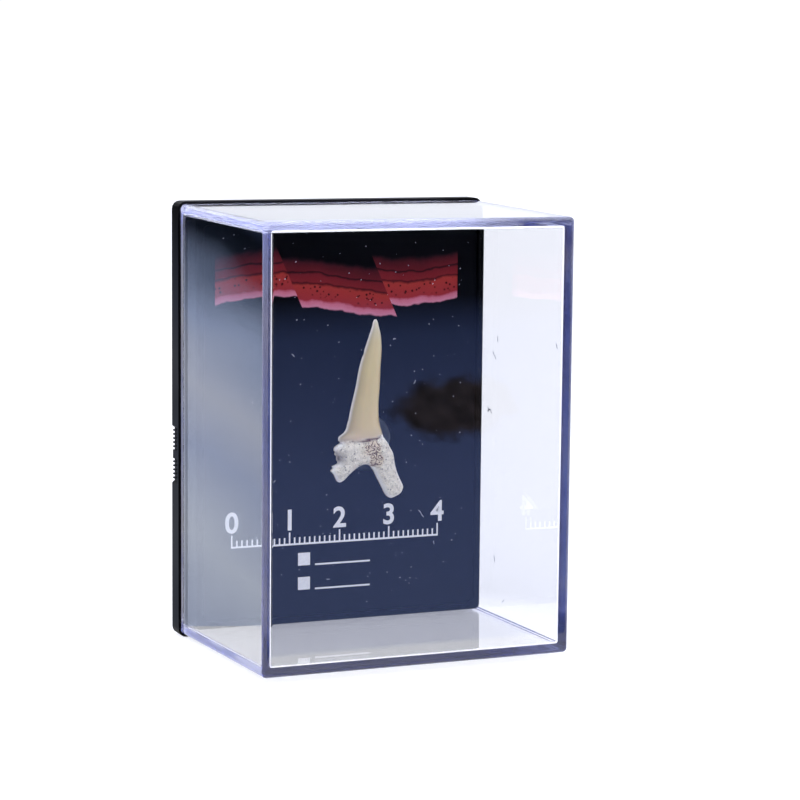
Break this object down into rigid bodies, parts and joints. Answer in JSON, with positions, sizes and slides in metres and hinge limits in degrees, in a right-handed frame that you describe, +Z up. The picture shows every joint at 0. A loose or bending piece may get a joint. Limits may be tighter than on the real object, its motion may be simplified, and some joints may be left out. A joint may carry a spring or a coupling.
{
  "type": "fossil shark tooth in a display box",
  "caption": "Slender fossil shark tooth with a forked root, glued to a black card in an upright clear display box with a black base.",
  "frame": {"origin": "middle of the box's footprint, on the surface that it stands on", "axes": "+Z up along the box's long side, +Y from the clear front to the black back, +X to the viewer's right"},
  "size_m": [0.061, 0.046, 0.081],
  "materials": {
    "black_polystyrene": "moulded, glossy with fine scuffs",
    "clear_polystyrene": "clear moulded plastic with polished walls",
    "printed_card": "black print with a satin varnish",
    "clear_adhesive": "soft clear adhesive",
    "fossil_tooth": "satin enamel crown over a chalky cream root"
  },
  "bodies": {
    "root": {"base": "black_polystyrene", "cover": "clear_polystyrene", "card": "printed_card", "glue_pad": "clear_adhesive", "tooth": "fossil_tooth"}
  },
  "joints": []
}
